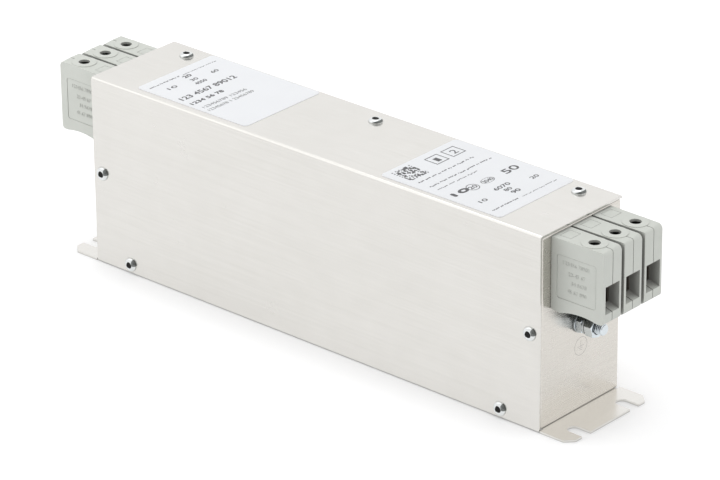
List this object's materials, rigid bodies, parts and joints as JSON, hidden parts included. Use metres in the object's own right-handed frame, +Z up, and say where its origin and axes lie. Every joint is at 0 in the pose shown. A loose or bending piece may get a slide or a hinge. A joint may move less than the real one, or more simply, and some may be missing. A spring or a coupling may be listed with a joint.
{
  "type": "emi line filter",
  "caption": "Slim mains interference filter in a folded steel case, with screw clamp terminals and an earth stud at each end and slotted mounting tabs.",
  "frame": {"origin": "centre of the mounting plane, under the bottom plate", "axes": "+Z up from the mounting plane, +X along the case towards the load terminals, -Y towards the folded cover's front face"},
  "size_m": [0.2904, 0.0528, 0.0854],
  "materials": {
    "case_steel": "cold-rolled sheet with a bright satin zinc finish and fine rolling grain",
    "rivet_metal": "smooth drawn blind rivets",
    "label_film": "white printed film, satin",
    "terminal_plastic": "moulded light grey-green insulating plastic, fine satin texture",
    "clamp_steel": "dull zinc-plated clamp steel",
    "copper": "tinned and bare copper bar",
    "zinc": "bright bluish zinc plating",
    "insulation": "translucent insulating film",
    "board": "green circuit board laminate",
    "core": "black coated ferrite ring",
    "winding": "enamelled copper wire",
    "capacitor": "grey moulded capacitor box",
    "resistor": "lacquered resistor body"
  },
  "bodies": {
    "root": {"cover": "case_steel", "back_tray": "case_steel", "bottom_plate": "case_steel", "front_rivets": "rivet_metal", "top_rivets": "rivet_metal", "rear_rivets": "rivet_metal", "line_label": "label_film", "load_label": "label_film", "line_terminal_1_front": "terminal_plastic", "line_terminal_1_rear": "terminal_plastic", "line_terminal_1_cage": "clamp_steel", "line_current_bar_1": "copper", "line_terminal_2_front": "terminal_plastic", "line_terminal_2_rear": "terminal_plastic", "line_terminal_2_cage": "clamp_steel", "line_current_bar_2": "copper", "line_terminal_3_front": "terminal_plastic", "line_terminal_3_rear": "terminal_plastic", "line_terminal_3_cage": "clamp_steel", "line_current_bar_3": "copper", "line_clamp_screws": "clamp_steel", "load_terminal_1_front": "terminal_plastic", "load_terminal_1_rear": "terminal_plastic", "load_terminal_1_cage": "clamp_steel", "load_current_bar_1": "copper", "load_terminal_2_front": "terminal_plastic", "load_terminal_2_rear": "terminal_plastic", "load_terminal_2_cage": "clamp_steel", "load_current_bar_2": "copper", "load_terminal_3_front": "terminal_plastic", "load_terminal_3_rear": "terminal_plastic", "load_terminal_3_cage": "clamp_steel", "load_current_bar_3": "copper", "load_clamp_screws": "clamp_steel", "earth_studs": "zinc", "earth_flat_washers": "zinc", "earth_lock_nuts": "zinc", "earth_spring_washers": "zinc", "earth_nuts": "zinc", "insulating_sheet": "insulation", "circuit_board": "board", "board_standoffs": "insulation", "line_choke_core": "core", "line_choke_winding_1": "winding", "line_film_capacitor_1": "capacitor", "line_choke_winding_2": "winding", "line_film_capacitor_2": "capacitor", "line_choke_winding_3": "winding", "line_film_capacitor_3": "capacitor", "load_choke_core": "core", "load_choke_winding_1": "winding", "load_film_capacitor_1": "capacitor", "load_choke_winding_2": "winding", "load_film_capacitor_2": "capacitor", "load_choke_winding_3": "winding", "load_film_capacitor_3": "capacitor", "earth_capacitor": "capacitor", "bleed_resistors": "resistor"}
  },
  "joints": []
}
